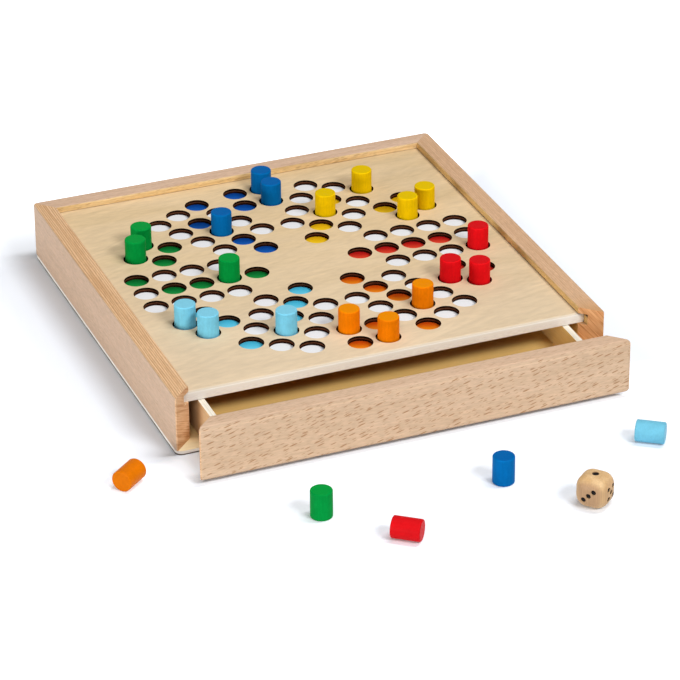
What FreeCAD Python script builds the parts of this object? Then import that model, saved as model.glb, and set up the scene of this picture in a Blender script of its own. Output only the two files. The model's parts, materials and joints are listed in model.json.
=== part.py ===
import FreeCAD, Part
import math
import os
import Sketcher

# Six-player ludo board: a mitred beech case that carries a perforated playing panel,
# a drawer whose front closes the fourth side, painted pegs and a wooden die.
# Lengths are in millimetres. The origin is the middle of the case's underside,
# +Z is up and the drawer pulls out towards -Y.

PLAYERS = ["red", "yellow", "blue", "green", "light_blue", "orange"]
FULL_TURN_DEG = 360
QUARTER_TURN_DEG = 90
ARM_STEP_DEG = FULL_TURN_DEG // len(PLAYERS)
BASE_TURN_DEG = -ARM_STEP_DEG // 2
ARM_ROWS = 5

SIZES = {
    # pegs and their sockets
    "peg_diameter": 12.0,
    "peg_length": 16.0,
    "peg_round": 0.8,
    "socket_clearance": 1.15,
    # playing pattern: the wood left between neighbouring sockets
    "row_web": 2.3,
    "column_web": 2.55,
    "base_web": 2.3,
    "centre_web": 17.25,
    "pattern_border": 9.5,
    "base_row_share": 3.55,
    "pattern_shift": 0.9,
    # case
    "wall_thickness": 11.4,
    "wall_height": 32.5,
    "wall_round": 1.0,
    "corner_round": 2.8,
    "rim_height": 4.0,
    "base_thickness": 2.5,
    "base_corner_radius": 4.0,
    # playing panel and the printed board under it
    "panel_thickness": 3.0,
    "panel_edge_round": 1.6,
    "backing_thickness": 3.0,
    "panel_setback": 0.5,
    "groove_depth": 4.0,
    "groove_head_play": 0.35,
    "groove_end_play": 0.3,
    # drawer
    "drawer_pull": 34.5,
    "mitre_clearance": 0.4,
    "running_clearance": 0.3,
    "front_head_round": 2.5,
    "front_foot_round": 2.2,
    "drawer_side_thickness": 3.8,
    "drawer_side_clearance": 5.4,
    "drawer_head_clearance": 0.4,
    "drawer_stop_gap": 3.0,
    "drawer_back_thickness": 3.6,
    "drawer_bottom_thickness": 3.0,
    "drawer_bottom_lift": 2.0,
    "drawer_groove_depth": 1.6,
    # die
    "die_side": 18.0,
    "die_round": 6.6,
    "pip_radius": 1.4,
    "single_pip_radius": 1.9,
    "pip_spacing": 2.75,
    "pip_depth": 0.8,
    # pieces lying in front of the drawer: place across from the middle, and ahead of its face
    "green_across": -76.9,
    "green_ahead": 51.1,
    "blue_across": 24.1,
    "blue_ahead": 55.8,
    "red_across": -44.4,
    "red_ahead": 88.4,
    "red_turn_deg": -38.0,
    "light_blue_across": 113.9,
    "light_blue_ahead": 47.9,
    "light_blue_turn_deg": -35.0,
    "orange_beside": 32.8,
    "orange_behind": 16.6,
    "orange_turn_deg": 40.0,
    "die_across": 59.0,
    "die_ahead": 93.9,
    "die_turn_deg": -49.0,
    # reach of every cut past the face that it opens
    "cut_overrun": 1.0,
}
SAME_PLACE = 1e-6

# playing pattern
SOCKET_RADIUS = "(Sizes.peg_diameter / 2 + Sizes.socket_clearance)"
ROW_PITCH = f"(2 * {SOCKET_RADIUS} + Sizes.row_web)"
COLUMN_PITCH = f"(2 * {SOCKET_RADIUS} + Sizes.column_web)"
BASE_HALF_PITCH = f"({SOCKET_RADIUS} + Sizes.base_web / 2)"
FIRST_ROW = f"(2 * {SOCKET_RADIUS} + Sizes.centre_web)"
BASE_RADIUS = f"({FIRST_ROW} + Sizes.base_row_share * {ROW_PITCH})"

# case, seen from above: the inner faces clear the tips of the arms by the border
INNER = f"({FIRST_ROW} + {ARM_ROWS - 1} * {ROW_PITCH} + {SOCKET_RADIUS} + Sizes.pattern_border)"
OUTER = f"({INNER} + Sizes.wall_thickness)"
CORNER_START = f"({OUTER} - Sizes.corner_round)"
CORNER_END = f"({CORNER_START} + Sizes.corner_round * cos({QUARTER_TURN_DEG / 2} deg))"
PANEL_HALF = f"({INNER} + Sizes.groove_depth - Sizes.groove_end_play)"
PANEL_FRONT = f"(Sizes.panel_setback - {INNER})"

# case, from the table up
CASE_TOP = "(Sizes.base_thickness + Sizes.wall_height)"
PANEL_TOP = f"({CASE_TOP} - Sizes.rim_height)"
PANEL_UNDER = f"({PANEL_TOP} - Sizes.panel_thickness)"
BACKING_UNDER = f"({PANEL_UNDER} - Sizes.backing_thickness)"

# drawer, in its closed place
DRAWER_FOOT = "(Sizes.base_thickness + Sizes.running_clearance)"
DRAWER_SIDE_HEIGHT = f"({BACKING_UNDER} - Sizes.drawer_head_clearance - {DRAWER_FOOT})"
SIDE_OUT = f"({INNER} - Sizes.drawer_side_clearance)"
SIDE_IN = f"({SIDE_OUT} - Sizes.drawer_side_thickness)"
HOUSED_HALF = f"({SIDE_IN} + Sizes.drawer_groove_depth)"
HOUSED_FRONT = f"(-{INNER} - Sizes.drawer_groove_depth)"
BACK_REAR = f"({INNER} - Sizes.drawer_stop_gap)"
BACK_FRONT = f"({BACK_REAR} - Sizes.drawer_back_thickness)"
BOTTOM_UNDER = f"({DRAWER_FOOT} + Sizes.drawer_bottom_lift)"
BOTTOM_TOP = f"({BOTTOM_UNDER} + Sizes.drawer_bottom_thickness)"
DRAWER_FACE = f"(-{OUTER} - Sizes.drawer_pull)"

doc = FreeCAD.newDocument("ludo_board")
sheet = doc.addObject("Spreadsheet::Sheet", "Sizes")
for row, (alias, size) in enumerate(SIZES.items(), start=1):
    sheet.set(f"A{row}", alias.replace("_", " "))
    sheet.set(f"B{row}", str(size))
    sheet.setAlias(f"B{row}", alias)
doc.recompute()

pieces = []


def amount(expression):
    """The present value of an expression of sheet cells."""
    return float(sheet.evalExpression(expression))


def new_piece(label):
    """An empty body that will be written to a file of its own."""
    body = doc.addObject("PartDesign::Body", label)
    body.Label = label
    pieces.append(body)
    return body


def new_sketch(body, name, role, height=None):
    """A sketch on one of the body's own origin planes, lifted along that plane's normal."""
    sketch = body.newObject("Sketcher::SketchObject", f"{body.Label}_{name}")
    plane = [feature for feature in body.Origin.OriginFeatures if feature.Role == role][0]
    sketch.AttachmentSupport = [(plane, "")]
    sketch.MapMode = "FlatFace"
    if height:
        sketch.setExpression("AttachmentOffset.Base.z", height)
    return sketch


def pin_point(sketch, geometry, point, x, y):
    """Tie one point of a sketch to the sheet, measured from the sketch's origin."""
    for direction, expression in (("DistanceX", x), ("DistanceY", y)):
        constraint = Sketcher.Constraint(direction, -1, 1, geometry, point, amount(expression))
        index = sketch.addConstraint(constraint)
        sketch.setExpression(f"Constraints[{index}]", expression)


def pin_radius(sketch, geometry, radius):
    index = sketch.addConstraint(Sketcher.Constraint("Radius", geometry, amount(radius)))
    sketch.setExpression(f"Constraints[{index}]", radius)


def arc_between(start, end, radius):
    """The short arc that turns left from one point to another."""
    chord = end - start
    sagitta = radius - math.sqrt(radius ** 2 - (chord.Length / 2) ** 2)
    outward = FreeCAD.Vector(chord.y, -chord.x, 0).normalize()
    return Part.ArcOfCircle(start, (start + end) / 2 + outward * sagitta, end)


def add_outline(sketch, corners):
    """A closed outline, anticlockwise. A corner is two sheet expressions, and a third one is
    the radius of an arc that leads to the next corner in place of a straight line."""
    spots = [FreeCAD.Vector(amount(x), amount(y), 0) for x, y, *_ in corners]
    lines = []
    for (_, _, *radius), start, end in zip(corners, spots, spots[1:] + spots[:1]):
        line = arc_between(start, end, amount(radius[0])) if radius else Part.LineSegment(start, end)
        lines.append(sketch.addGeometry(line))
    for line, following in zip(lines, lines[1:] + lines[:1]):
        sketch.addConstraint(Sketcher.Constraint("Coincident", line, 2, following, 1))
    for line, (x, y, *radius) in zip(lines, corners):
        pin_point(sketch, line, 1, x, y)
        if radius:
            pin_radius(sketch, line, radius[0])


def add_rectangle(sketch, left, right, low, high):
    add_outline(sketch, [(left, low), (right, low), (right, high), (left, high)])


def add_circle(sketch, x, y, radius):
    centre = FreeCAD.Vector(amount(x), amount(y), 0)
    circle = sketch.addGeometry(Part.Circle(centre, FreeCAD.Vector(0, 0, 1), amount(radius)))
    pin_radius(sketch, circle, radius)
    pin_point(sketch, circle, 3, x, y)


def pad(body, sketch, length):
    feature = body.newObject("PartDesign::Pad", f"{sketch.Name}_pad")
    feature.Profile = sketch
    feature.setExpression("Length", length)
    doc.recompute()
    return feature


def pocket(body, sketch, length=None, reversed_cut=False):
    """Cut a sketch out of the body, by a length or right through both ways."""
    before = body.Shape.Volume
    feature = body.newObject("PartDesign::Pocket", f"{sketch.Name}_pocket")
    feature.Profile = sketch
    if length:
        feature.Reversed = reversed_cut
        feature.setExpression("Length", length)
    else:
        feature.Type = "ThroughAll"
        feature.SideType = "Symmetric"
    doc.recompute()
    if not body.Shape.Volume < before:
        raise RuntimeError(f"{sketch.Name} cuts nothing")
    return feature


def round_edges(body, feature, chosen, radius):
    """Round those edges of a feature that the function chosen picks out."""
    names = []
    for number, edge in enumerate(feature.Shape.Edges, start=1):
        if chosen(edge):
            names.append(f"Edge{number}")
    fillet = body.newObject("PartDesign::Fillet", f"{feature.Name}_round")
    fillet.Base = (feature, names)
    fillet.setExpression("Radius", radius)
    doc.recompute()
    return fillet


def near(first, second):
    return abs(first - second) < SAME_PLACE


def lies_at(edge, axis, place):
    """Whether a whole edge lies at one place along the axis x, y or z."""
    box = edge.BoundBox
    return near(getattr(box, f"{axis}Min"), place) and near(getattr(box, f"{axis}Max"), place)


def runs_across(edge):
    return near(edge.BoundBox.YLength, 0) and near(edge.BoundBox.ZLength, 0)


def edge_picker(depth, height):
    """Picks the edges that run across at one depth and height."""
    return lambda edge: runs_across(edge) and lies_at(edge, "Y", depth) and lies_at(edge, "Z", height)


def place(body, x="0", y="0", z="0", rotation=None):
    if rotation:
        body.Placement = FreeCAD.Placement(FreeCAD.Vector(), rotation)
    body.setExpression("Placement.Base.x", x)
    body.setExpression("Placement.Base.y", y)
    body.setExpression("Placement.Base.z", z)


def turned(degrees):
    return FreeCAD.Rotation(FreeCAD.Vector(0, 0, 1), degrees)


# Case

def make_wall(label, turn_deg):
    """A frame wall, drawn as the back one and turned about the middle of the case. The outer
    corners are rounded, so each mitred end starts half way round its corner."""
    body = new_piece(label)
    outline = new_sketch(body, "outline", "XY_Plane", "Sizes.base_thickness")
    add_outline(outline, [
        (f"-{CORNER_START}", OUTER, "Sizes.corner_round"), (f"-{CORNER_END}", CORNER_END),
        (f"-{INNER}", INNER), (INNER, INNER),
        (CORNER_END, CORNER_END, "Sizes.corner_round"), (CORNER_START, OUTER),
    ])
    pad(body, outline, "Sizes.wall_height")
    groove = new_sketch(body, "groove", "YZ_Plane")
    groove_head = f"{PANEL_TOP} + Sizes.groove_head_play"
    add_rectangle(groove, f"{INNER} - Sizes.cut_overrun", f"{INNER} + Sizes.groove_depth",
                  BACKING_UNDER, groove_head)
    grooved = pocket(body, groove)
    top = amount(CASE_TOP)
    round_edges(body, grooved, lambda edge: lies_at(edge, "Z", top) and runs_across(edge), "Sizes.wall_round")
    place(body, rotation=turned(turn_deg))


def make_base_panel():
    body = new_piece("base_panel")
    outline = new_sketch(body, "outline", "XY_Plane")
    add_rectangle(outline, f"-{OUTER}", OUTER, f"-{OUTER}", OUTER)
    board = pad(body, outline, "Sizes.base_thickness")
    thickness = amount("Sizes.base_thickness")
    round_edges(body, board, lambda edge: near(edge.BoundBox.ZLength, thickness), "Sizes.base_corner_radius")


def make_play_panel():
    """The perforated panel: one player's sockets are cut, then repeated round their middle,
    which lies a little to the left of the board's."""
    body = new_piece("play_panel")
    outline = new_sketch(body, "outline", "XY_Plane", PANEL_UNDER)
    add_rectangle(outline, f"Sizes.pattern_shift - {PANEL_HALF}", f"Sizes.pattern_shift + {PANEL_HALF}",
                  PANEL_FRONT, PANEL_HALF)
    board = pad(body, outline, "Sizes.panel_thickness")
    top = amount(PANEL_TOP)
    front = amount(PANEL_FRONT)
    round_edges(body, board, lambda edge: lies_at(edge, "Z", top) and lies_at(edge, "Y", front),
                "Sizes.panel_edge_round")
    sockets = new_sketch(body, "sockets", "XY_Plane", PANEL_UNDER)
    for row in range(1, ARM_ROWS + 1):
        add_circle(sockets, row_radius(row), "0", SOCKET_RADIUS)
    for side in (-1, 1):
        for row in range(2, ARM_ROWS + 1):
            add_circle(sockets, row_radius(row), f"{side} * {COLUMN_PITCH}", SOCKET_RADIUS)
    for out in (-1, 1):
        for side in (-1, 1):
            x, y = turned_spot(*base_spot(out, side), BASE_TURN_DEG)
            add_circle(sockets, x, y, SOCKET_RADIUS)
    cut = pocket(body, sockets)
    pattern = body.newObject("PartDesign::PolarPattern", "play_panel_pattern")
    pattern.Originals = [cut]
    axis = [feature for feature in body.Origin.OriginFeatures if feature.Role == "Z_Axis"][0]
    pattern.Axis = (axis, [""])
    pattern.Angle = FULL_TURN_DEG
    pattern.Occurrences = len(PLAYERS)
    body.Tip = pattern
    place(body, "-Sizes.pattern_shift")
    doc.recompute()


def make_backing_board():
    body = new_piece("backing_board")
    outline = new_sketch(body, "outline", "XY_Plane", BACKING_UNDER)
    add_rectangle(outline, f"-{PANEL_HALF}", PANEL_HALF, PANEL_FRONT, PANEL_HALF)
    pad(body, outline, "Sizes.backing_thickness")


# Drawer

def make_drawer_front():
    """The mitred front, housed at its back for the sides and grooved for the bottom."""
    body = new_piece("drawer_front")
    outline = new_sketch(body, "outline", "XY_Plane", DRAWER_FOOT)
    face_half = f"({CORNER_START} - Sizes.mitre_clearance)"
    tip_half = f"({CORNER_END} - Sizes.mitre_clearance)"
    back_half = f"({INNER} - Sizes.mitre_clearance)"
    add_outline(outline, [
        (f"-{face_half}", f"-{OUTER}"), (face_half, f"-{OUTER}", "Sizes.corner_round"),
        (tip_half, f"-{CORNER_END}"), (back_half, f"-{INNER}"),
        (f"-{back_half}", f"-{INNER}"), (f"-{tip_half}", f"-{CORNER_END}", "Sizes.corner_round"),
    ])
    board = pad(body, outline, "Sizes.wall_height - Sizes.running_clearance")
    for height, depth, radius in (
        (CASE_TOP, f"-{OUTER}", "Sizes.front_head_round"),
        (DRAWER_FOOT, f"-{OUTER}", "Sizes.front_foot_round"),
        (CASE_TOP, f"-{INNER}", "Sizes.wall_round"),
    ):
        board = round_edges(body, board, edge_picker(amount(depth), amount(height)), radius)
    behind = f"Sizes.cut_overrun - {INNER}"
    housings = new_sketch(body, "housings", "XY_Plane", DRAWER_FOOT)
    add_rectangle(housings, SIDE_IN, SIDE_OUT, HOUSED_FRONT, behind)
    add_rectangle(housings, f"-{SIDE_OUT}", f"-{SIDE_IN}", HOUSED_FRONT, behind)
    pocket(body, housings, DRAWER_SIDE_HEIGHT, reversed_cut=True)
    groove = new_sketch(body, "groove", "XY_Plane", BOTTOM_UNDER)
    groove_half = f"({SIDE_IN} + Sizes.cut_overrun)"
    add_rectangle(groove, f"-{groove_half}", groove_half, HOUSED_FRONT, behind)
    pocket(body, groove, "Sizes.drawer_bottom_thickness", reversed_cut=True)
    place(body, y="-Sizes.drawer_pull")


def make_drawer_side(label, side):
    """A side, grooved for the bottom and housed for the back; side is -1 left or 1 right."""
    body = new_piece(label)
    outline = new_sketch(body, "outline", "XY_Plane", DRAWER_FOOT)
    add_rectangle(outline, f"{side} * {SIDE_IN}", f"{side} * {SIDE_OUT}", HOUSED_FRONT, BACK_REAR)
    pad(body, outline, DRAWER_SIDE_HEIGHT)
    mouth = f"{side} * ({SIDE_IN} - Sizes.cut_overrun)"
    floor = f"{side} * {HOUSED_HALF}"
    groove = new_sketch(body, "groove", "XZ_Plane")
    add_rectangle(groove, mouth, floor, BOTTOM_UNDER, BOTTOM_TOP)
    pocket(body, groove)
    housing = new_sketch(body, "housing", "XY_Plane", BOTTOM_UNDER)
    add_rectangle(housing, mouth, floor, BACK_FRONT, f"{BACK_REAR} + Sizes.cut_overrun")
    pocket(body, housing, DRAWER_SIDE_HEIGHT, reversed_cut=True)
    place(body, y="-Sizes.drawer_pull")


def make_drawer_back():
    body = new_piece("drawer_back")
    outline = new_sketch(body, "outline", "XY_Plane", BOTTOM_TOP)
    add_rectangle(outline, f"-{HOUSED_HALF}", HOUSED_HALF, BACK_FRONT, BACK_REAR)
    pad(body, outline, f"{DRAWER_FOOT} + {DRAWER_SIDE_HEIGHT} - {BOTTOM_TOP}")
    place(body, y="-Sizes.drawer_pull")


def make_drawer_bottom():
    body = new_piece("drawer_bottom")
    outline = new_sketch(body, "outline", "XY_Plane", BOTTOM_UNDER)
    add_rectangle(outline, f"-{HOUSED_HALF}", HOUSED_HALF, HOUSED_FRONT, BACK_REAR)
    pad(body, outline, "Sizes.drawer_bottom_thickness")
    place(body, y="-Sizes.drawer_pull")


# Playing pattern: a spot is a place out along an arm and a place to its left

def row_radius(row):
    return f"({FIRST_ROW} + {row - 1} * {ROW_PITCH})"


def base_spot(out, side):
    return f"({BASE_RADIUS} + {out} * {BASE_HALF_PITCH})", f"({side} * {BASE_HALF_PITCH})"


def turned_spot(out, left, degrees):
    x = f"{out} * cos({degrees} deg) - {left} * sin({degrees} deg)"
    y = f"{out} * sin({degrees} deg) + {left} * cos({degrees} deg)"
    return x, y


def home(row):
    return row_radius(row), "0", 0


def start():
    return row_radius(ARM_ROWS), f"(-{COLUMN_PITCH})", 0


def base(out, side):
    return (*base_spot(out, side), BASE_TURN_DEG)


# Pegs and die

def make_peg(label):
    body = new_piece(label)
    disc = new_sketch(body, "disc", "XY_Plane")
    add_circle(disc, "0", "0", "Sizes.peg_diameter / 2")
    shank = pad(body, disc, "Sizes.peg_length")
    round_edges(body, shank, lambda edge: near(edge.BoundBox.ZLength, 0), "Sizes.peg_round")
    return body


def make_board_peg(label, player, spot):
    """A peg that stands on the backing board, in a socket of its own player's arm or base."""
    out, left, turn_deg = spot
    x, y = turned_spot(out, left, PLAYERS.index(player) * ARM_STEP_DEG + turn_deg)
    place(make_peg(label), f"{x} - Sizes.pattern_shift", y, PANEL_UNDER)


def make_lying_peg(label, x, y, turn):
    """A peg on its side on the table; turn is the cell with its direction in degrees."""
    degrees = amount(turn)
    tipped = FreeCAD.Rotation(FreeCAD.Vector(0, 1, 0), QUARTER_TURN_DEG)
    half_x = f"Sizes.peg_length / 2 * cos({turn} * 1 deg)"
    half_y = f"Sizes.peg_length / 2 * sin({turn} * 1 deg)"
    place(make_peg(label), f"{x} - {half_x}", f"{y} - {half_y}", "Sizes.peg_diameter / 2",
          turned(degrees).multiply(tipped))


def make_die():
    """A cube with well-rounded edges; the pips of opposite faces add up to seven."""
    body = new_piece("die")
    half = "(Sizes.die_side / 2)"
    outline = new_sketch(body, "outline", "XY_Plane", f"-{half}")
    add_rectangle(outline, f"-{half}", half, f"-{half}", half)
    cube = pad(body, outline, "Sizes.die_side")
    round_edges(body, cube, lambda edge: True, "Sizes.die_round")
    one = [(0, 0)]
    two = [(-1, 1), (1, -1)]
    three = one + [(-1, -1), (1, 1)]
    four = two + [(-1, -1), (1, 1)]
    five = one + four
    six = four + [(-1, 0), (1, 0)]
    faces = [("XY_Plane", 1, one), ("XY_Plane", -1, six), ("XZ_Plane", 1, three),
             ("XZ_Plane", -1, four), ("YZ_Plane", 1, five), ("YZ_Plane", -1, two)]
    for number, (role, side, pips) in enumerate(faces):
        drilling = new_sketch(body, f"pips_{number}", role, f"{side} * {half}")
        radius = "Sizes.single_pip_radius" if pips == one else "Sizes.pip_radius"
        for across, up in pips:
            add_circle(drilling, f"{across} * Sizes.pip_spacing", f"{up} * Sizes.pip_spacing", radius)
        pocket(body, drilling, "Sizes.pip_depth", reversed_cut=side < 0)
    place(body, "Sizes.die_across", f"{DRAWER_FACE} - Sizes.die_ahead", half,
          turned(amount("Sizes.die_turn_deg")))


BOARD_PEGS = {
    "peg_blue": ("blue", [home(3), base(-1, -1), base(1, -1)]),
    "peg_green": ("green", [home(2), base(1, -1), base(1, 1)]),
    "peg_yellow": ("yellow", [home(3), start(), base(-1, -1), base(1, -1)]),
    "peg_red": ("red", [start(), base(-1, -1), base(1, -1)]),
    "peg_orange": ("orange", [home(4), base(-1, -1), base(1, 1)]),
    "peg_light_blue": ("light_blue", [home(4), base(1, -1), base(1, 1)]),
}

make_wall("back_wall", 0)
make_wall("left_wall", QUARTER_TURN_DEG)
make_wall("right_wall", -QUARTER_TURN_DEG)
make_base_panel()
make_play_panel()
make_backing_board()
make_drawer_front()
make_drawer_side("drawer_left_side", -1)
make_drawer_side("drawer_right_side", 1)
make_drawer_back()
make_drawer_bottom()

for label, (player, spots) in BOARD_PEGS.items():
    for number, spot in enumerate(spots, start=1):
        make_board_peg(f"{label}_{number}", player, spot)

for colour in ("green", "blue"):
    place(make_peg(f"peg_{colour}_4"), f"Sizes.{colour}_across", f"{DRAWER_FACE} - Sizes.{colour}_ahead")
for colour in ("red", "light_blue"):
    make_lying_peg(f"peg_{colour}_4", f"Sizes.{colour}_across", f"{DRAWER_FACE} - Sizes.{colour}_ahead",
                   f"Sizes.{colour}_turn_deg")
make_lying_peg("peg_orange_4", f"-{OUTER} - Sizes.orange_beside", f"{DRAWER_FACE} + Sizes.orange_behind",
               "Sizes.orange_turn_deg")
make_die()

doc.recompute()
for item in doc.Objects:
    if "Invalid" in item.State or "Error" in item.State:
        raise RuntimeError(f"{item.Label} failed: {item.State}")
for piece in pieces:
    if piece.Shape.isNull() or not piece.Shape.isValid() or len(piece.Shape.Solids) != 1:
        raise RuntimeError(f"{piece.Label} isn't one valid solid")

os.makedirs("parts", exist_ok=True)
for piece in pieces:
    piece.Shape.exportStep(f"parts/{piece.Label}.step")
print(len(pieces), "pieces written")
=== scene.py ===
"""Looks of a six-player ludo board: a beech case with a drawer, a birch playing panel, pegs and a die.

Lengths here are millimetres in the frame of the part, and MM turns them into metres. The lamps
are given in metres.
"""

import json
import math

import bmesh
import bpy
from mathutils import Matrix, Vector

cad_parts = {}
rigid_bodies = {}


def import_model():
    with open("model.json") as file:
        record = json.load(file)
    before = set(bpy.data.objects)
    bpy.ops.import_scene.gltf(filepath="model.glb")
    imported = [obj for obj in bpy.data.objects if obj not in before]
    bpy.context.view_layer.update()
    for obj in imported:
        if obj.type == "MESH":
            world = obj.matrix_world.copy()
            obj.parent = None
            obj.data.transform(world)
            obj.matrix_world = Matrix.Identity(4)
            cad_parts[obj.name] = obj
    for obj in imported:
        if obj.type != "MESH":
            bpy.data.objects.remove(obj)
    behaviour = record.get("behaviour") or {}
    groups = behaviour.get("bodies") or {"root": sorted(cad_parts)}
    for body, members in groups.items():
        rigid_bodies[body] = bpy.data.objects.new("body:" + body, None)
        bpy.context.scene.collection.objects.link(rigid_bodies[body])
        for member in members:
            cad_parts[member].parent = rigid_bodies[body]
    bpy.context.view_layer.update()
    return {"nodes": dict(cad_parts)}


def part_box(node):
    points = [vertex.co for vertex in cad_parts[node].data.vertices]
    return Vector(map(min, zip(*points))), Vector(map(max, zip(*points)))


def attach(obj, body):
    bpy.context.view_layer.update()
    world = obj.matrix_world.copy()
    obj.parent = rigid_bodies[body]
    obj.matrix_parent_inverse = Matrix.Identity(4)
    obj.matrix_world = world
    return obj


MM = 0.001
X, Y, Z = 0, 1, 2
# Scale at which a wave texture repeats once per unit
WAVE_PERIOD = math.pi / 10

# The players' arms, counter-clockwise from +X, and the paint on the sides and the tops of their pegs;
# the tops' own tones are painted light and shade
PLAYERS = ("red", "yellow", "blue", "green", "light_blue", "orange")
ARM_STEP = 2 * math.pi / len(PLAYERS)
HOME_ROWS = 4
PAINTS = {
    "red": ((0.75, 0.006, 0.010), (0.60, 0.005, 0.008)),
    "yellow": ((0.83, 0.525, 0.001), (0.69, 0.465, 0.001)),
    "blue": ((0.001, 0.130, 0.385), (0.001, 0.105, 0.347)),
    "green": ((0.001, 0.26, 0.042), (0.001, 0.276, 0.040)),
    "light_blue": ((0.19, 0.585, 0.78), (0.205, 0.55, 0.70)),
    "orange": ((0.84, 0.202, 0.001), (0.755, 0.235, 0.001)),
}
# The inks of the dots printed under the sockets, at the back and at the front of a dot; the darker back
# and lighter front are painted shade and light
INKS_WITH_PAINTED_SHADE = {
    "red": ((0.42, 0.006, 0.006), (0.90, 0.085, 0.030)),
    "yellow": ((0.68, 0.36, 0.003), (0.97, 0.66, 0.012)),
    "blue": ((0.001, 0.045, 0.25), (0.003, 0.125, 0.52)),
    "green": ((0.001, 0.115, 0.019), (0.003, 0.32, 0.054)),
    "light_blue": ((0.055, 0.43, 0.63), (0.165, 0.67, 0.86)),
    "orange": ((0.50, 0.050, 0.001), (0.95, 0.31, 0.005)),
}
# Direction along which the dots' painted shade deepens, towards the back of a socket
INK_SHADE_RISE = Vector((0.37, 0.93, 0))

# Share of the side colour that the paint of a lying peg has: painted shade, darker than the standing
# pegs' paint for the light a lying peg catches
LYING_PAINTED_SHADE = 0.80

# Gloss of bare wood
WOOD_GLOSS = 0.07
# Beech on the outside of the case: pale, deep, streak and share of streaks. It starts this far out.
CASE_BEECH = ((0.65, 0.46, 0.325), (0.61, 0.425, 0.295), (0.54, 0.36, 0.235), 0.2)
CASE_SKIN = 120 * MM
FRONT_BEECH = ((0.63, 0.445, 0.30), (0.585, 0.405, 0.265), (0.52, 0.34, 0.21), 0.22)
FLECK_BROWN = (0.33, 0.16, 0.063)
# Painted shade deep in the groove that holds the panel
GROOVE_PAINTED_SHADE = (0.05, 0.02, 0.01)
# Where the tint of a wall's front end starts and where it is full, along Y
TIP_START, TIP_FULL = -100 * MM, -124 * MM

# How far the edges of the base and of the drawer's boards are eased
BASE_EASE, DRAWER_EASE = 0.6, 0.35

# How far the die is turned round, in degrees
DIE_TURN = -49

# The camera, at the photograph's viewing angle
CAMERA_PLACE = (-628.51, -1634.41, 941.69)
CAMERA_AZIMUTH, CAMERA_ELEVATION, CAMERA_ROLL = -21.578, 28.771, -0.497
CAMERA_LENS, CAMERA_SENSOR = 183.08, 36.0

# Soft boxes: azimuth counter-clockwise from +X, elevation, (wide, tall) and power
LAMP_DISTANCE = 2.6
LAMPS = {
    "key": (-18, 75, (0.3, 1.5), 34.2),
    "front_key": (291, 41, (0.9, 0.5), 35.2),
    "left_fill": (204, 6, (1.2, 0.4), 35.2),
    "front_fill": (241, 46, (0.8, 0.5), 10.8),
}
WORLD_LEVEL = 0.08
FLOOR_REACH = 8000 * MM


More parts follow.
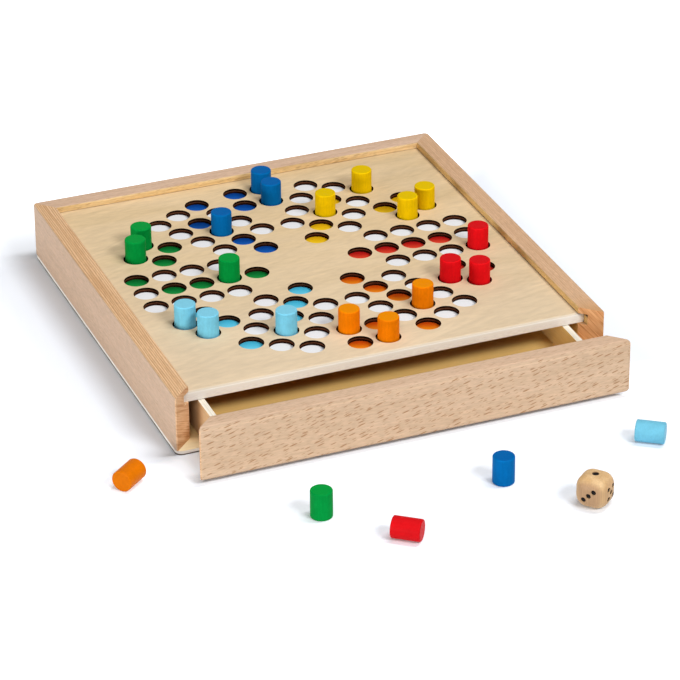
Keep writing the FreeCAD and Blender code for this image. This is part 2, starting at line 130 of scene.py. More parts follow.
class Finish:
    """One node material whose patterns lie in the part's own coordinates."""

    def __init__(self, name, roughness, specular):
        self.material = bpy.data.materials.new(name)
        self.material.use_nodes = True
        self.tree = self.material.node_tree
        self.tree.nodes.clear()
        self.surface = self.add("ShaderNodeBsdfPrincipled")
        self.surface.inputs["Roughness"].default_value = roughness
        self.surface.inputs["Specular IOR Level"].default_value = specular
        output = self.add("ShaderNodeOutputMaterial")
        self.join(self.surface.outputs["BSDF"], output.inputs["Surface"])
        self.place = self.add("ShaderNodeTexCoord").outputs["Object"]
        self.normal = self.add("ShaderNodeNewGeometry").outputs["Normal"]

    def add(self, kind, **settings):
        node = self.tree.nodes.new(kind)
        for name, value in settings.items():
            setattr(node, name, value)
        return node

    def join(self, source, target):
        self.tree.links.new(source, target)

    def feed(self, target, value):
        """Links a socket to the target, or sets the target to a plain value."""
        if isinstance(value, bpy.types.NodeSocket):
            self.join(value, target)
        else:
            target.default_value = value

    def part(self, vector, axis):
        """One coordinate of a vector."""
        split = self.add("ShaderNodeSeparateXYZ")
        self.join(vector, split.inputs[0])
        return split.outputs[axis]

    def unrolled(self, along, first, second):
        """The faces round a board laid flat: along it, and round its edges."""
        drawn = self.add("ShaderNodeCombineXYZ")
        self.join(self.part(self.place, along), drawn.inputs[0])
        around = self.math("ADD", self.part(self.place, first), self.part(self.place, second))
        self.join(around, drawn.inputs[1])
        return drawn.outputs[0]

    def stretched(self, lengths, slant=(0, 0, 0), shift=(0, 0, 0), source=None):
        """Coordinates in which a pattern's features have about these lengths."""
        turned = self.add("ShaderNodeMapping")
        turned.inputs["Rotation"].default_value = [math.radians(angle) for angle in slant]
        self.join(source or self.place, turned.inputs["Vector"])
        sized = self.add("ShaderNodeMapping")
        sized.inputs["Location"].default_value = shift
        sized.inputs["Scale"].default_value = [1 / (length * MM) for length in lengths]
        self.join(turned.outputs["Vector"], sized.inputs["Vector"])
        return sized.outputs["Vector"]

    def noise(self, lengths, detail=2.0, distortion=0.0, slant=(0, 0, 0), shift=(0, 0, 0)):
        node = self.add("ShaderNodeTexNoise")
        node.inputs["Scale"].default_value = 1.0
        node.inputs["Detail"].default_value = detail
        node.inputs["Distortion"].default_value = distortion
        self.join(self.stretched(lengths, slant, shift), node.inputs["Vector"])
        return node.outputs[0]

    def stripes(self, axis, lengths, distortion, shift):
        """Parallel bands across one axis, whose period is its length."""
        node = self.add("ShaderNodeTexWave", bands_direction="XYZ"[axis])
        node.inputs["Scale"].default_value = WAVE_PERIOD
        node.inputs["Distortion"].default_value = distortion
        node.inputs["Detail"].default_value = 3.0
        self.join(self.stretched(lengths, shift=shift), node.inputs["Vector"])
        return node.outputs["Fac"]

    def dashes(self, flat, cell, stroke, slant, share, shift):
        """Short strokes on a flat drawing, at most one in each cell: 1 in a stroke, 0 elsewhere."""
        cells = self.add("ShaderNodeTexVoronoi", voronoi_dimensions="2D")
        cells.inputs["Scale"].default_value = 1.0
        cells.inputs["Randomness"].default_value = 0.85
        flat = self.stretched((*cell, 1), (0, 0, slant), shift, flat)
        self.join(flat, cells.inputs["Vector"])
        pick = self.add("ShaderNodeSeparateColor")
        self.join(cells.outputs["Color"], pick.inputs[0])
        kept = self.span(pick.outputs[0], share, share - 0.04)
        reach = self.span(pick.outputs[1], 0, 1, 0.5, 1.0)
        offset = self.add("ShaderNodeVectorMath", operation="SUBTRACT")
        self.join(flat, offset.inputs[0])
        self.join(cells.outputs["Position"], offset.inputs[1])
        sized = self.add("ShaderNodeVectorMath", operation="MULTIPLY")
        self.join(offset.outputs[0], sized.inputs[0])
        sized.inputs[1].default_value = (2 * cell[0] / stroke[0], 2 * cell[1] / stroke[1], 0)
        near = self.add("ShaderNodeVectorMath", operation="LENGTH")
        self.join(sized.outputs[0], near.inputs[0])
        near = self.math("DIVIDE", near.outputs["Value"], reach)
        return self.math("MULTIPLY", self.span(near, 1.0, 0.55), kept)

    def math(self, operation, first, second=0.0):
        node = self.add("ShaderNodeMath", operation=operation)
        self.feed(node.inputs[0], first)
        self.feed(node.inputs[1], second)
        return node.outputs[0]

    def span(self, source, low, high, to_low=0.0, to_high=1.0):
        """A soft step of source from low to high."""
        node = self.add("ShaderNodeMapRange", interpolation_type="SMOOTHSTEP")
        for socket, value in zip(node.inputs, (source, low, high, to_low, to_high)):
            self.feed(socket, value)
        return node.outputs[0]

    def facing(self, axis, low=0.5, high=0.75):
        """1 on faces that look along an axis, either way."""
        return self.span(self.math("ABSOLUTE", self.part(self.normal, axis)), low, high)

    def looking(self, direction, low, high):
        """1 on faces that look along a direction, either way."""
        along = self.add("ShaderNodeVectorMath", operation="DOT_PRODUCT")
        self.join(self.normal, along.inputs[0])
        along.inputs[1].default_value = direction
        return self.span(self.math("ABSOLUTE", along.outputs["Value"]), low, high)

    def mix(self, factor, first, second, blend="MIX"):
        node = self.add("ShaderNodeMix", data_type="RGBA", blend_type=blend)
        self.feed(node.inputs[0], factor)
        for socket, value in ((node.inputs[6], first), (node.inputs[7], second)):
            self.feed(socket, value if isinstance(value, bpy.types.NodeSocket) else (*value, 1.0))
        return node.outputs[2]

    def ramp(self, source, stops):
        node = self.add("ShaderNodeValToRGB")
        elements = node.color_ramp.elements
        while len(elements) < len(stops):
            elements.new(0.5)
        for element, (position, colour) in zip(elements, stops):
            element.position = position
            element.color = (*colour, 1.0)
        self.join(source, node.inputs[0])
        return node.outputs[0]

    def shaded(self, colour, source, low, high):
        """A colour darkened or lightened by a pattern."""
        tone = self.ramp(source, ((0.25, (low,) * 3), (0.75, (high,) * 3)))
        return self.mix(1.0, colour, tone, "MULTIPLY")

    def bump(self, height, depth, over=None):
        node = self.add("ShaderNodeBump")
        node.inputs["Distance"].default_value = depth * MM
        self.join(height, node.inputs["Height"])
        if over:
            self.join(over, node.inputs["Normal"])
        return node.outputs[0]

    def use(self, colour=None, roughness=None, normal=None):
        for name, value in (("Base Color", colour), ("Roughness", roughness), ("Normal", normal)):
            if value:
                self.join(value, self.surface.inputs[name])
        return self.material


def beech(
    name, along, depth, seed, face, outer, edge, ends, flecks, slant, lean, bands, groove=None, tip=None
):
    """Beech with its grain along one axis. Its broad faces look along depth.

    face, outer and edge are (pale, deep, streak, share of streaks) for the broad faces, the broad
    face on the outside and the narrow faces. ends is (dark, middle, light) for the end grain,
    whose lines lean. flecks are the strengths of the dark rays on the broad and the narrow faces,
    and slant turns them. bands is the strength of regular stripes on the narrow faces. groove is
    how far out the floor of a groove lies, and the height above which painted shade darkens it.
    tip is the tint of the narrow faces at the front end.
    """
    side = 3 - along - depth
    wood = Finish(name, 0.5, WOOD_GLOSS)
    shift = (seed * 3.7, seed * 5.3, seed * 7.1)

    def lengths(long, through, across):
        sizes = [0, 0, 0]
        sizes[along], sizes[depth], sizes[side] = long, through, across
        return sizes

    broad = wood.span(wood.noise(lengths(170, 10, 12), 2, 0.3, shift=shift), 0.3, 0.7)
    fine = wood.noise(lengths(55, 0.85, 1.3), 3, 0.2, shift=shift)
    wavy = wood.noise(lengths(85, 1.7, 2.4), 2, 0.5, shift=shift)
    looks = []
    for pale, deep, streak, streaks in (face, outer, edge):
        colour = wood.mix(broad, pale, deep)
        lines = wood.math("MULTIPLY", wood.span(wavy, 0.5, 0.66), streaks)
        lines = wood.math("MAXIMUM", lines, wood.math("MULTIPLY", wood.span(fine, 0.48, 0.7), streaks))
        looks.append(wood.mix(lines, colour, streak))
    broadside = wood.facing(depth)
    stripes = wood.span(wood.stripes(depth, lengths(17, 1.3, 1.3), 4.0, shift), 0.45, 0.85)
    inside, outside, narrow = looks
    narrow = wood.mix(wood.math("MULTIPLY", stripes, bands), narrow, edge[2])
    if tip:
        narrow = wood.mix(wood.span(wood.part(wood.place, along), TIP_START, TIP_FULL), narrow, tip)
    out = wood.math("ABSOLUTE", wood.part(wood.place, depth))
    wide = wood.mix(wood.span(out, CASE_SKIN - MM, CASE_SKIN), inside, outside)
    colour = wood.mix(broadside, narrow, wide)
    fibre = wood.noise(lengths(3.2, 0.45, 0.45), 3, shift=shift)
    colour = wood.shaded(colour, fibre, 0.89, 1.095)
    speckle = wood.noise(lengths(6, 1.0, 1.1), 2, shift=shift)
    colour = wood.shaded(colour, speckle, 0.915, 1.075)
    round_edge = wood.unrolled(along, side, depth)
    rays = wood.dashes(round_edge, (6.2, 2.4), (5.8, 0.9), slant, 0.55, shift)
    small = wood.dashes(round_edge, (4.2, 1.6), (3.4, 0.65), slant, 0.5, (seed * 1.9, seed * 8.3, 0))
    rays = wood.math("MAXIMUM", rays, wood.math("MULTIPLY", small, 0.6))
    fleck = wood.math("MULTIPLY", rays, wood.span(broadside, 0, 1, flecks[1], flecks[0]))
    colour = wood.mix(fleck, colour, FLECK_BROWN)
    # Darker along the rounded arrises: a burnished arris, and painted shade that damps the light the
    # rounding catches
    arris = wood.math("MULTIPLY", wood.facing(depth, 0.25, 0.6), wood.facing(side, 0.25, 0.6))
    colour = wood.shaded(colour, arris, 1.0, 0.84)
    end = wood.facing(along, 0.4, 0.6)
    tilt = [0, 0, 0]
    tilt[along] = lean
    arcs = wood.noise(lengths(16, 16, 0.8), 2, 0.3, tilt, shift)
    colour = wood.mix(end, colour, wood.ramp(arcs, tuple(zip((0.32, 0.5, 0.7), ends))))
    # Painted shade inside the groove, above the given height
    if groove:
        far, dark_from = groove
        cut = wood.span(out, far - MM, far - 0.5 * MM)
        cut = wood.math("MULTIPLY", cut, wood.span(out, far + MM, far + 0.5 * MM))
        high = wood.span(wood.part(wood.place, Z), dark_from - 0.4 * MM, dark_from)
        cut = wood.math("MULTIPLY", cut, high)
        cut = wood.math("MULTIPLY", cut, wood.facing(depth, 0.9, 0.95))
        colour = wood.mix(cut, colour, GROOVE_PAINTED_SHADE)
    rough = wood.span(fibre, 0.2, 0.8, 0.42, 0.6)
    normal = wood.bump(fibre, 0.05, wood.bump(rays, -0.05))
    return wood.use(colour, rough, normal)


def scorched(ply, board_colour, inner, low, high):
    """Adds the dark walls of burnt-out sockets to a panel's colour."""
    place = ply.place
    wall = ply.span(ply.math("ABSOLUTE", ply.part(ply.normal, Z)), 0.75, 0.45)
    for axis, reach in ((X, inner[0]), (Y, inner[1])):
        offset = ply.math("ABSOLUTE", ply.part(place, axis))
        wall = ply.math("MULTIPLY", wall, ply.span(offset, reach * MM, (reach - 0.5) * MM))
    height = ply.span(ply.part(place, Z), low * MM, high * MM)
    smoke = ply.noise((2.5, 2.5, 0.8), 2)
    level = ply.math("ADD", height, ply.span(smoke, 0.2, 0.8, -0.1, 0.1))
    # The burnt wall is darkest at its lip and near its foot; the paler band at mid height is the ply's
    # lighter core and a painted highlight
    char = ply.ramp(level, (
        (0.05, (0.018, 0.005, 0.003)),
        (0.30, (0.045, 0.013, 0.006)),
        (0.50, (0.150, 0.055, 0.026)),
        (0.68, (0.035, 0.010, 0.004)),
        (0.85, (0.008, 0.003, 0.002)),
    ))
    ply.join(ply.span(wall, 0, 1, WOOD_GLOSS, 0), ply.surface.inputs["Specular IOR Level"])
    return ply.mix(wall, board_colour, char)


def birch(name, along, pale, deep, seed):
    """Birch plywood with its face grain along one axis."""
    ply = Finish(name, 0.55, WOOD_GLOSS)
    shift = (seed * 4.1, seed * 2.9, seed * 6.3)
    sizes = [26, 26, 26]
    sizes[along] = 150
    broad = ply.noise(sizes, 2, 0.9, shift=shift)
    colour = ply.mix(ply.span(broad, 0.3, 0.7), pale, deep)
    sizes = [3.4, 3.4, 3.4]
    sizes[along] = 90
    figure = ply.noise(sizes, 3, 1.2, shift=shift)
    colour = ply.shaded(colour, figure, 0.945, 1.045)
    sizes = [0.45, 0.45, 0.45]
    sizes[along] = 5
    fibre = ply.noise(sizes, 2, shift=shift)
    colour = ply.shaded(colour, fibre, 0.95, 1.045)
    return ply, colour, fibre


def plain_birch(name, along, plies, pale, deep, edge, seed):
    """Birch board whose cut edges show the plies along one axis."""
    ply, colour, fibre = birch(name, along, pale, deep, seed)
    lengths = [40, 40, 40]
    lengths[plies] = 1.1
    layers = ply.noise(lengths, 1, shift=(seed, seed, seed))
    cut = ply.mix(ply.span(layers, 0.35, 0.65), edge, [0.82 * value for value in edge])
    colour = ply.mix(ply.facing(plies, 0.75, 0.5), colour, cut)
    return ply.use(colour, ply.span(fibre, 0.2, 0.8, 0.5, 0.66), ply.bump(fibre, 0.05))


def base_birch():
    """The base board: browner inside the case, as painted shade, and a pale cut edge over a dark foot, a
    painted contact shadow.
    """
    ply, colour, fibre = birch("birch_base", X, (0.94, 0.85, 0.59), (0.90, 0.79, 0.52), 2.0)
    wander = ply.noise((14, 14, 14), 2)
    height = ply.math("ADD", ply.part(ply.place, Z), ply.span(wander, 0.3, 0.7, -0.12 * MM, 0.12 * MM))
    # The dark band low on the cut edge is a painted contact shadow
    edge = ply.mix(ply.span(height, 0.95 * MM, 0.6 * MM), (0.90, 0.85, 0.78), (0.10, 0.075, 0.06))
    # Browner deeper inside the case: painted shade of the cavity
    inside = ply.span(ply.part(ply.place, Y), -122 * MM, -110 * MM)
    colour = ply.mix(inside, colour, (0.92, 0.66, 0.30))
    colour = ply.mix(ply.facing(Z, 0.9, 0.6), colour, edge)
    return ply.use(colour, ply.span(fibre, 0.2, 0.8, 0.5, 0.66), ply.bump(fibre, 0.05))


def playing_panel(inner, low, high):
    """The birch playing panel: faint figure on top, a pale front edge and burnt socket walls."""
    ply, colour, fibre = birch("birch_playing_panel", X, (0.75, 0.565, 0.345), (0.69, 0.51, 0.29), 1.0)
    drift = ply.math("MULTIPLY_ADD", ply.part(ply.place, X), 0.3)
    ply.join(ply.part(ply.place, Y), drift.node.inputs[2])
    colour = ply.mix(ply.span(drift, 100 * MM, -140 * MM, 0, 0.8), colour, (0.72, 0.575, 0.405))
    flame = ply.noise((60, 11, 11), 3, 2.6, (0, 0, -18))
    colour = ply.shaded(colour, flame, 0.925, 1.05)
    colour = ply.shaded(colour, ply.noise((6, 2.0, 2.0), 2), 0.95, 1.045)
    # Darker towards the right: painted shade that evens out the stronger light there
    rightward = ply.span(ply.part(ply.place, X), -20 * MM, 120 * MM)
    colour = ply.shaded(colour, rightward, 1.0, 0.94)
    # The rounded rim is darker than the top: painted shade that damps the light the rounding catches
    colour = ply.mix(ply.facing(Z, 0.98, 0.8), colour, (0.64, 0.55, 0.43))
    colour = ply.mix(ply.facing(Z, 0.6, 0.25), colour, (0.83, 0.785, 0.715))
    colour = scorched(ply, colour, inner, low, high)
    return ply.use(colour, ply.span(fibre, 0.2, 0.8, 0.46, 0.6), ply.bump(fibre, 0.03))


def printed_board():
    """White printed card on a pale board."""
    card = Finish("printed_backing", 0.6, 0.1)
    tooth = card.noise((0.7, 0.7, 0.7), 2)
    white = card.shaded((0.80, 0.80, 0.815), tooth, 0.97, 1.03)
    pulp = card.noise((3, 3, 0.4), 3)
    body = card.ramp(pulp, ((0.3, (0.76, 0.70, 0.63)), (0.7, (0.88, 0.84, 0.78))))
    up = card.part(card.normal, Z)
    colour = card.mix(card.span(up, 0.6, 0.9), body, white)
    # Dark red-brown underneath: painted shade for the drawer's inside below it
    colour = card.mix(card.span(up, -0.6, -0.9), colour, (0.22, 0.10, 0.035))
    return card.use(colour, None, card.bump(tooth, 0.02))


def ink_and_painted_shade(name, back, front):
    """A printed colour with the slight unevenness of ink on card, and painted shade: deeper at the back
    of its dot, lighter at the front.
    """
    print_ = Finish(name, 0.55, 0.08)
    tooth = print_.noise((0.5, 0.5, 0.5), 2)
    cloud = print_.noise((6, 6, 6), 2)
    shade_rise = print_.add("ShaderNodeAttribute", attribute_name="shade_rise").outputs["Fac"]
    tone = print_.mix(print_.span(shade_rise, -0.9, 0.9), front, back)
    tone = print_.shaded(tone, cloud, 0.93, 1.03)
    return print_.use(print_.shaded(tone, tooth, 0.95, 1.04), None, print_.bump(tooth, 0.02))


def paint(name, colour, top=None):
    """Satin paint over turned wood. top is the colour on the top of a standing peg, a tone of its own
    that paints in the light and shade there.
    """
    coat = Finish(name, 0.45, 0.015 if top else 0.04)
    cloud = coat.noise((6, 6, 6), 2)
    tone = coat.shaded(colour, cloud, 0.90, 1.06)
    peel = coat.noise((0.8, 0.8, 1.6), 2)
    tone = coat.shaded(tone, peel, 0.94, 1.04)
    if top:
        drag = coat.noise((1.1, 1.1, 14), 2)
        tone = coat.shaded(tone, drag, 0.93, 1.05)
        tone = coat.mix(coat.facing(Z, 0.8, 0.97), tone, coat.shaded(top, peel, 0.95, 1.05))
    rough = coat.span(peel, 0.25, 0.75, 0.36, 0.5)
    return coat.use(tone, rough, coat.bump(peel, 0.04))


def die_wood(turn):
    """A wooden die with its grain upright, whose upright faces are darker than its top, a tone for each
    pair: painted shade.
    """
    wood = Finish("die_maple", 0.45, 0.15)
    broad = wood.noise((5, 5, 16), 2, 0.5)
    colour = wood.mix(wood.span(broad, 0.3, 0.7), (0.68, 0.46, 0.24), (0.58, 0.36, 0.165))
    # Painted shade: each pair of upright faces gets its own darker tone
    for angle, dark in ((turn - 90, (0.44, 0.265, 0.14)), (turn, (0.54, 0.33, 0.16))):
        away = (math.cos(math.radians(angle)), math.sin(math.radians(angle)), 0)
        colour = wood.mix(wood.looking(away, 0.55, 0.95), colour, dark)
    lines = wood.noise((0.7, 0.7, 14), 3, 0.4)
    colour = wood.shaded(colour, lines, 0.82, 1.08)
    fibre = wood.noise((0.25, 0.25, 2.5), 2)
    return wood.use(colour, wood.span(fibre, 0.2, 0.8, 0.36, 0.54), wood.bump(fibre, 0.04))


def pip_paint():
    """Black paint, a little cloudy."""
    coat = Finish("pip_paint", 0.5, 0.05)
    cloud = coat.noise((0.6, 0.6, 0.6), 2)
    colour = coat.ramp(cloud, ((0.3, (0.006, 0.005, 0.005)), (0.75, (0.022, 0.017, 0.015))))
    return coat.use(colour, coat.span(cloud, 0.3, 0.7, 0.32, 0.5), coat.bump(cloud, 0.03))


def islands(node):
    """The connected faces of a node, as (corner points, first face's normal, flat or not)."""
    mesh = node.data
    leader = list(range(len(mesh.vertices)))

    def head(index):
        while leader[index] != index:
            leader[index] = leader[leader[index]]
            index = leader[index]
        return index

    for face in mesh.polygons:
        first = head(face.vertices[0])
        for vertex in face.vertices[1:]:
            leader[head(vertex)] = first
    groups = {}
    for face in mesh.polygons:
        groups.setdefault(head(face.vertices[0]), []).append(face)
    found = []
    for faces in groups.values():
        corners = [mesh.vertices[index].co for face in faces for index in face.vertices]
        normal = faces[0].normal.copy()
        level = all(face.normal.dot(normal) > 0.999 for face in faces)
        found.append((corners, normal, level))
    return found


def middle(points):
    """The centre and half sizes of the points' box."""
    low = Vector([min(point[axis] for point in points) for axis in range(3)])
    high = Vector([max(point[axis] for point in points) for axis in range(3)])
    return (low + high) / 2, (high - low) / 2


def read_sockets(panel):
    """The sockets' centres and radius, from the round walls in the playing panel."""
    sockets = []
    for points, normal, level in islands(panel):
        centre, half = middle(points)
        if not level and abs(normal.z) < 0.1 and abs(half.x - half.y) < 0.05 * MM:
            sockets.append((centre.x, centre.y, half.x))
    return sockets


def socket_owners(sockets):
    """Sorts the coloured sockets by player: four home rows, the start and the base."""
    owners = {player: [] for player in PLAYERS}
    hub_x = sum(x for x, y, radius in sockets) / len(sockets)
    hub_y = sum(y for x, y, radius in sockets) / len(sockets)
    for index, player in enumerate(PLAYERS):
        angle = index * ARM_STEP
        rows = {-1: [], 0: [], 1: []}
        for x, y, radius in sockets:
            reach = math.hypot(x - hub_x, y - hub_y)
            turn = (math.atan2(y - hub_y, x - hub_x) - angle + math.pi) % (2 * math.pi) - math.pi
            out, left = reach * math.cos(turn), reach * math.sin(turn)
            if out > 0 and abs(left) < 3 * radius:
                rows[round(left / (2.4 * radius))].append((out, x, y, radius))
            elif abs(turn + ARM_STEP / 2) < ARM_STEP / 4 and reach > 8 * radius:
                owners[player].append((x, y, radius))
        owners[player] += [place for out, *place in sorted(rows[0])[:HOME_ROWS]]
        owners[player] += [place for out, *place in sorted(rows[-1])[-1:]]
    return owners


def add_piece(name, shape, material, body):
    """Makes a smooth piece that rides on a body."""
    mesh = bpy.data.meshes.new(name)
    shape.to_mesh(mesh)
    shape.free()
    for face in mesh.polygons:
        face.use_smooth = True
    mesh.materials.append(material)
    piece = bpy.data.objects.new(name, mesh)
    bpy.context.scene.collection.objects.link(piece)
    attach(piece, body)


def add_film(shape, centre, normal, profile, segments=48):
    """A round film of paint or ink: profile gives (radius, height) from its middle out and under.

    Returns the film's vertices.
    """
    turn = normal.to_track_quat("Z", "Y").to_matrix()
    rings = []
    for radius, height in profile:
        ring = []
        for step in range(segments if radius else 1):
            angle = 2 * math.pi * step / segments
            local = Vector((radius * math.cos(angle), radius * math.sin(angle), height))
            ring.append(shape.verts.new(centre + turn @ local))
        rings.append(ring)
    for inner, outer in zip(rings, rings[1:]):
        for step in range(segments):
            after = (step + 1) % segments
            if len(inner) == 1:
                shape.faces.new((inner[0], outer[step], outer[after]))
            elif len(outer) == 1:
                shape.faces.new((inner[step], outer[0], inner[after]))
            else:
                shape.faces.new((inner[step], outer[step], outer[after], inner[after]))
    return [vertex for ring in rings for vertex in ring]


def add_dots(owners, top):
    """The coloured dots printed on the backing board, seen at the bottom of the sockets."""
    film = 0.04 * MM
    for player, places in owners.items():
        shape = bmesh.new()
        shade_rise = shape.verts.layers.float.new("shade_rise")
        for x, y, radius in places:
            rim = radius - 0.01 * MM
            centre = Vector((x, y, top))
            profile = (
                (0, film), (0.6 * rim, film), (rim - film, film), (rim, 0.5 * film), (rim, 0), (0, 0)
            )
            for vertex in add_film(shape, centre, Vector((0, 0, 1)), profile):
                vertex[shade_rise] = (vertex.co - centre).dot(INK_SHADE_RISE) / rim
        colour = ink_and_painted_shade(f"ink_{player}", *INKS_WITH_PAINTED_SHADE[player])
        add_piece(f"printed_dots_{player}", shape, colour, "case")


def add_pips(die):
    """Black paint in the die's round recesses, drawn up a little at their walls."""
    shape = bmesh.new()
    film = 0.03 * MM
    for points, normal, level in islands(die):
        centre, half = middle(points)
        radius = max((point - centre).length for point in points)
        if level and radius < 2.5 * MM:
            rim = radius - 0.01 * MM
            profile = (
                (0, film), (0.5 * rim, film), (0.8 * rim, 2 * film), (0.94 * rim, 5 * film),
                (rim, 9 * film), (rim, film / 2), (0, film / 2),
            )
            add_film(shape, centre, normal, profile, 32)
    add_piece("die_pips", shape, pip_paint(), "die")


def soften(node, width):
    """Eases the sharp edges of a board."""
    node.modifiers.new("weld", "WELD").merge_threshold = 0.001 * MM
    edge = node.modifiers.new("ease", "BEVEL")
    edge.width = width * MM
    edge.segments = 2
    edge.limit_method = "ANGLE"
    edge.angle_limit = math.radians(40)
    edge.harden_normals = True


def add_floor():
    """A wide pale floor that keeps the shadows by the board and glows white to the camera away from it:
    painted light.
    """
    shape = bmesh.new()
    bmesh.ops.create_grid(shape, x_segments=8, y_segments=8, size=FLOOR_REACH)
    mesh = bpy.data.meshes.new("floor")
    shape.to_mesh(mesh)
    shape.free()
    floor = bpy.data.objects.new("floor", mesh)
    bpy.context.scene.collection.objects.link(floor)
    pale = Finish("floor_pale", 0.9, 0.0)
    tint = pale.noise((900, 900, 900), 1)
    pale.use(pale.shaded((0.84, 0.88, 0.945), tint, 0.995, 1.005))
    rays = pale.add("ShaderNodeLightPath")
    seen = pale.math("MAXIMUM", rays.outputs["Is Camera Ray"], rays.outputs["Is Glossy Ray"])
    seen = pale.math("MAXIMUM", seen, rays.outputs["Is Transmission Ray"])
    pale.surface.inputs["Emission Color"].default_value = (1, 1, 1, 1)
    beside = pale.math("ABSOLUTE", pale.part(pale.place, X))
    along = pale.part(pale.place, Y)
    # Painted light: the floor glows white to the camera beside, behind and ahead of the board
    glow = pale.span(beside, 150 * MM, 210 * MM, 0.03, 0.7)
    for start, end, level in ((100, 200, 0.7), (-156, -170, 0.12), (-280, -360, 0.7)):
        glow = pale.math("MAXIMUM", glow, pale.span(along, start * MM, end * MM, 0, level))
    # Painted light that washes out shadows: paler past the case's front corners, and along the foot of
    # the open drawer
    past_side = pale.span(beside, 118 * MM, 130 * MM)
    corner = pale.math("MULTIPLY", past_side, pale.span(along, -124 * MM, -134 * MM, 0, 0.3))
    past_drawer = pale.span(along, -156 * MM, -158 * MM)
    strip = pale.math("MULTIPLY", past_drawer, pale.span(along, -195 * MM, -178 * MM, 0, 0.26))
    glow = pale.math("MAXIMUM", glow, pale.math("MAXIMUM", corner, strip))
    pale.join(pale.math("MULTIPLY", seen, glow), pale.surface.inputs["Emission Strength"])
    mesh.materials.append(pale.material)


def add_world(level):
    """White where the camera looks past the floor, and a dimmer even light on the object."""
    world = bpy.data.worlds.new("studio")
    bpy.context.scene.world = world
    world.use_nodes = True
    tree = world.node_tree
    tree.nodes.clear()
    rays = tree.nodes.new("ShaderNodeLightPath")
    seen = rays.outputs["Is Camera Ray"]
    for kind in ("Is Glossy Ray", "Is Transmission Ray"):
        either = tree.nodes.new("ShaderNodeMath")
        either.operation = "MAXIMUM"
        tree.links.new(seen, either.inputs[0])
        tree.links.new(rays.outputs[kind], either.inputs[1])
        seen = either.outputs[0]
    strength = tree.nodes.new("ShaderNodeMapRange")
    strength.inputs["To Min"].default_value = level
    strength.inputs["To Max"].default_value = 1.0
    sky = tree.nodes.new("ShaderNodeBackground")
    sky.inputs["Color"].default_value = (1, 1, 1, 1)
    output = tree.nodes.new("ShaderNodeOutputWorld")
    tree.links.new(seen, strength.inputs["Value"])
    tree.links.new(strength.outputs[0], sky.inputs["Strength"])
    tree.links.new(sky.outputs[0], output.inputs["Surface"])


def add_lamp(name, azimuth, elevation, size, power):
    """A soft box that looks at the board."""
    lamp = bpy.data.lights.new(name, "AREA")
    lamp.shape = "RECTANGLE"
    lamp.size, lamp.size_y = size
    lamp.energy = power
    around, above = math.radians(azimuth), math.radians(elevation)
    place = Vector((
        math.cos(around) * math.cos(above), math.sin(around) * math.cos(above), math.sin(above)
    )) * LAMP_DISTANCE
    holder = bpy.data.objects.new(name, lamp)
    holder.location = place
    holder.rotation_euler = (-place).to_track_quat("-Z", "Y").to_euler()
    bpy.context.scene.collection.objects.link(holder)


def add_camera():
    """The camera, turned by its three angles."""
    azimuth, elevation, roll = (
        math.radians(angle) for angle in (CAMERA_AZIMUTH, CAMERA_ELEVATION, CAMERA_ROLL)
    )
    back = Vector((
        math.sin(azimuth) * math.cos(elevation),
        -math.cos(azimuth) * math.cos(elevation),
        math.sin(elevation),
    ))
    right = Vector((math.cos(azimuth), math.sin(azimuth), 0))
    up = back.cross(right)
    across = math.cos(roll) * right + math.sin(roll) * up
    above = math.cos(roll) * up - math.sin(roll) * right
    turn = Matrix((across, above, back)).transposed().to_4x4()
    camera = bpy.data.cameras.new("camera")
    camera.lens = CAMERA_LENS
    camera.sensor_width = CAMERA_SENSOR
    holder = bpy.data.objects.new("camera", camera)
    holder.matrix_world = Matrix.Translation(Vector(CAMERA_PLACE) * MM) @ turn
    bpy.context.scene.collection.objects.link(holder)
    bpy.context.scene.camera = holder


def dress(nodes, finishes):
    """Gives each named node its finish."""
    for name, finish in finishes.items():
        nodes[name].material_slots[0].material = finish


for leftover in list(bpy.data.objects):
    bpy.data.objects.remove(leftover)

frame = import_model()
nodes = frame["nodes"]

panel_low, panel_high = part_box("play_panel")
board_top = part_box("backing_board")[1].z
# All the sockets lie within this reach of the middle, in X and in Y
inner_reach = (panel_high.x / MM - 5, min(-panel_low.y, panel_high.y) / MM - 2)
# How far out the panel's groove goes, and the height above which painted shade darkens it
groove_floor = (panel_high.x, panel_high.z - 1.2 * MM)

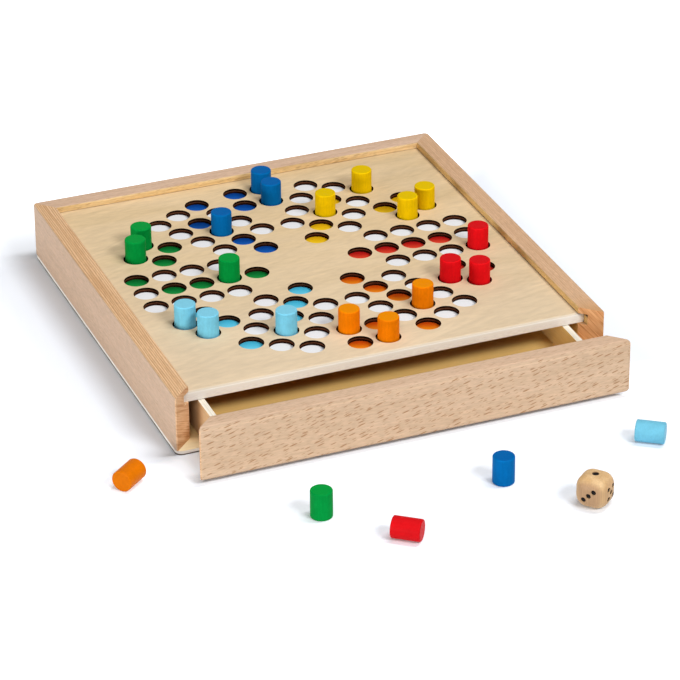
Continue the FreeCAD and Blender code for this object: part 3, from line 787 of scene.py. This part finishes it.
dress(nodes, {
    "left_wall": beech(
        "beech_left_wall", Y, X, 1.0,
        face=CASE_BEECH, outer=CASE_BEECH,
        edge=((0.79, 0.53, 0.315), (0.72, 0.465, 0.265), (0.46, 0.235, 0.095), 0.45),
        ends=((0.53, 0.27, 0.13), (0.66, 0.395, 0.215), (0.78, 0.52, 0.31)),
        flecks=(0.15, 0.1), slant=6, lean=-35, bands=0.65, groove=groove_floor
    ),
    "right_wall": beech(
        "beech_right_wall", Y, X, 2.0,
        # The inner face is more golden than the left wall's: painted light for the light it catches
        face=((0.71, 0.47, 0.19), (0.64, 0.405, 0.155), (0.48, 0.26, 0.08), 0.35), outer=CASE_BEECH,
        edge=((0.67, 0.435, 0.27), (0.60, 0.38, 0.225), (0.48, 0.275, 0.145), 0.4),
        ends=((0.52, 0.225, 0.08), (0.72, 0.365, 0.165), (0.80, 0.46, 0.225)),
        flecks=(0.1, 0.15), slant=6, lean=-50, bands=0.35, groove=groove_floor, tip=(0.54, 0.30, 0.14)
    ),
    "back_wall": beech(
        "beech_back_wall", X, Y, 3.0,
        # The inner face is paler and more golden: painted light for the light bounced onto it from the
        # panel
        face=((0.81, 0.585, 0.32), (0.77, 0.53, 0.235), (0.56, 0.32, 0.11), 0.45), outer=CASE_BEECH,
        edge=((0.70, 0.495, 0.36), (0.64, 0.435, 0.30), (0.48, 0.30, 0.18), 0.4),
        ends=((0.40, 0.18, 0.075), (0.62, 0.35, 0.18), (0.74, 0.46, 0.25)),
        flecks=(0.45, 0.2), slant=-8, lean=30, bands=0.25
    ),
    "drawer_front": beech(
        "beech_drawer_front", X, Y, 4.0,
        face=FRONT_BEECH, outer=FRONT_BEECH,
        edge=((0.64, 0.45, 0.31), (0.595, 0.41, 0.28), (0.50, 0.32, 0.20), 0.25),
        ends=((0.46, 0.24, 0.11), (0.68, 0.42, 0.24), (0.76, 0.51, 0.31)),
        flecks=(0.82, 0.3), slant=-16, lean=30, bands=0.0
    ),
    "play_panel": playing_panel(inner_reach, panel_low.z / MM, panel_high.z / MM),
    "backing_board": printed_board(),
    "base_panel": base_birch(),
    # The bottom is a deeper, more golden birch than the back: painted light for the warm light bounced
    # inside the drawer
    "drawer_bottom": plain_birch(
        "birch_drawer_bottom", X, Z, (0.96, 0.645, 0.225), (0.91, 0.575, 0.175), (0.80, 0.70, 0.54), 3.0
    ),
    "drawer_back": plain_birch(
        "birch_drawer_back", X, Y, (0.74, 0.57, 0.38), (0.67, 0.50, 0.32), (0.84, 0.77, 0.64), 4.0
    ),
    # The left side is darker and redder: painted shade of the gap beside the drawer
    "drawer_left_side": plain_birch(
        "birch_drawer_left_side", Y, X, (0.70, 0.48, 0.27), (0.63, 0.41, 0.215), (0.86, 0.80, 0.68), 5.0
    ),
    # The right side is paler and more golden: painted light for the light it catches
    "drawer_right_side": plain_birch(
        "birch_drawer_right_side", Y, X, (0.96, 0.70, 0.32), (0.91, 0.62, 0.255), (0.86, 0.80, 0.68), 6.0
    ),
    "die": die_wood(DIE_TURN),
})
for player in PLAYERS:
    side, top = PAINTS[player]
    upright = paint(f"paint_{player}", side, top)
    lying = paint(f"paint_{player}_lying", [LYING_PAINTED_SHADE * value for value in side])
    for name in nodes:
        if name.rsplit("_", 1)[0] == f"peg_{player}":
            low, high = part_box(name)
            dress(nodes, {name: upright if high.z - low.z > high.x - low.x else lying})

soften(nodes["base_panel"], BASE_EASE)
for name in ("drawer_left_side", "drawer_right_side", "drawer_back", "drawer_bottom"):
    soften(nodes[name], DRAWER_EASE)

add_dots(socket_owners(read_sockets(nodes["play_panel"])), board_top)
add_pips(nodes["die"])
add_floor()
add_world(WORLD_LEVEL)
for name, settings in LAMPS.items():
    add_lamp(name, *settings)
add_camera()
bpy.context.scene.view_settings.view_transform = "Standard"
